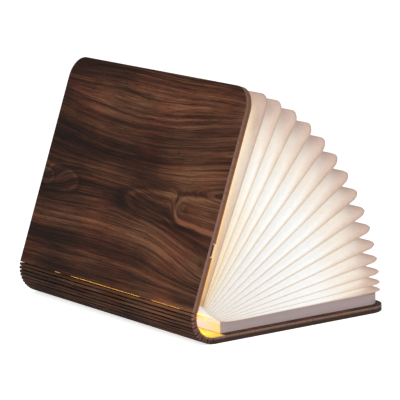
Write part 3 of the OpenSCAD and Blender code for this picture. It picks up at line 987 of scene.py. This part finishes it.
block_lid = moulded("block_lid", (0.8, 0.77, 0.74), 0.65)
circuit_green = moulded("circuit_green", (0.03, 0.16, 0.07), 0.4)
pouch_foil = moulded("pouch_foil", (0.66, 0.66, 0.68), 0.35, metallic=1.0)
magnet_nickel = moulded("magnet_nickel", (0.7, 0.68, 0.64), 0.25, metallic=1.0)
diode_strip = moulded("diode_strip", (0.9, 0.84, 0.6), 0.4, glow=(0.95, 0.8, 0.5))
frosted = moulded("frosted_cover", (0.9, 0.88, 0.82), 0.5, glow=(0.9, 0.8, 0.6))
tube_glass = moulded("tube_glass", (0.5, 0.68, 0.62), 0.15)
for node, made in {
    "back_tray": back_block_finish(),
    "front_tray": front_block_finish(),
    "back_lid": block_lid,
    "front_lid": block_lid,
    "control_board": circuit_green,
    "charge_board": circuit_green,
    "battery": pouch_foil,
    "usb_socket": socket_finish(),
    "back_magnets": magnet_nickel,
    "front_magnets": magnet_nickel,
    "light_bar": diode_strip,
    "diffuser": frosted,
    "reed_switch": tube_glass,
}.items():
    dress(node, made)

# ---- floor, light and camera ----


def floor_paint():
    """Pale matt paint that shows white to the camera and keeps the lamp's shadow."""
    made, n, shader = material("floor_paint")
    shader.inputs["Base Color"].default_value = (0.86, 0.86, 0.86, 1)
    shader.inputs["Roughness"].default_value = 0.9
    shader.inputs["Specular IOR Level"].default_value = 0.0
    seen = n.add("ShaderNodeLightPath").outputs["Is Camera Ray"]
    shine = n.add("ShaderNodeEmission", {"Strength": n.math("MULTIPLY", seen, 0.72)})
    both = n.add("ShaderNodeAddShader", {0: shader.outputs[0], 1: shine.outputs[0]})
    n.feed(made.node_tree.nodes["Material Output"].inputs["Surface"], both.outputs[0])
    return made


def white_studio():
    """A world that is white to the camera, and lights the lamp at a lower level."""
    world = bpy.data.worlds.new("studio")
    bpy.context.scene.world = world
    world.use_nodes = True
    n = Nodes(world.node_tree)
    rays = n.add("ShaderNodeLightPath").outputs
    seen = n.math("MAXIMUM", rays["Is Camera Ray"], rays["Is Transmission Ray"])
    sky = world.node_tree.nodes["Background"].inputs
    n.feed(sky["Strength"], n.between(seen, 0.0, 1.0, 0.42, 1.0))
    sky["Color"].default_value = (1, 1, 1, 1)


def put(name, data, place, turn):
    """Adds a lamp or a camera to the scene."""
    obj = bpy.data.objects.new(name, data)
    obj.location = place
    obj.rotation_euler = turn
    bpy.context.scene.collection.objects.link(obj)
    return obj


BOOK_MIDDLE = (0, 0, 0.08)


def softbox(name, place, size, watts):
    """A square lamp, aimed at the middle of the book."""
    lamp = bpy.data.lights.new(name, "AREA")
    lamp.size = size
    lamp.energy = watts
    aim = Vector(BOOK_MIDDLE) - Vector(place)
    put(name, lamp, place, aim.to_track_quat("-Z", "Y").to_euler())


def spine_spill():
    """Warm light that leaks into the hollow of the spine, along its whole length."""
    lamp = bpy.data.lights.new("spine_spill", "AREA")
    lamp.shape = "RECTANGLE"
    lamp.size = 4 * MM
    lamp.size_y = 1.9 * PAGE_Y
    lamp.energy = 0.03
    lamp.color = (1.0, 0.7, 0.12)
    place = (PAGE_X0 - 2 * MM, 0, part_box("back_lid")[1].z + 1 * MM)
    spill = put("spine_spill", lamp, place, (0, math.radians(60), 0))
    spill.visible_camera = False


FLOOR_SIZE = 6.0
FLOOR_DROP = 0.05 * MM  # from the back cover's underside
sheet = bmesh.new()
bmesh.ops.create_grid(sheet, x_segments=1, y_segments=1, size=FLOOR_SIZE)
bmesh.ops.translate(sheet, verts=sheet.verts, vec=(0, 0, -FLOOR_DROP))
floor = finished(sheet, "floor", floor_paint())
white_studio()
softbox("key_light", (-1.1, -0.9, 1.0), 0.9, 10)
softbox("front_fill", (0.6, -1.8, 0.7), 1.2, 5)
spine_spill()

# The view from low on the left, which looks past the spine into the fan.
CAMERA_PLACE = (-1.17222, -1.59857, 0.46029)
CAMERA_TURN = [math.radians(a) for a in (78.9742, 0.9047, -36.2041)]
camera_data = bpy.data.cameras.new("camera")
camera_data.sensor_width = 36.0
camera_data.lens = 252.17
camera_data.clip_end = 50
bpy.context.scene.camera = put("camera", camera_data, CAMERA_PLACE, CAMERA_TURN)
bpy.context.scene.view_settings.view_transform = "Standard"
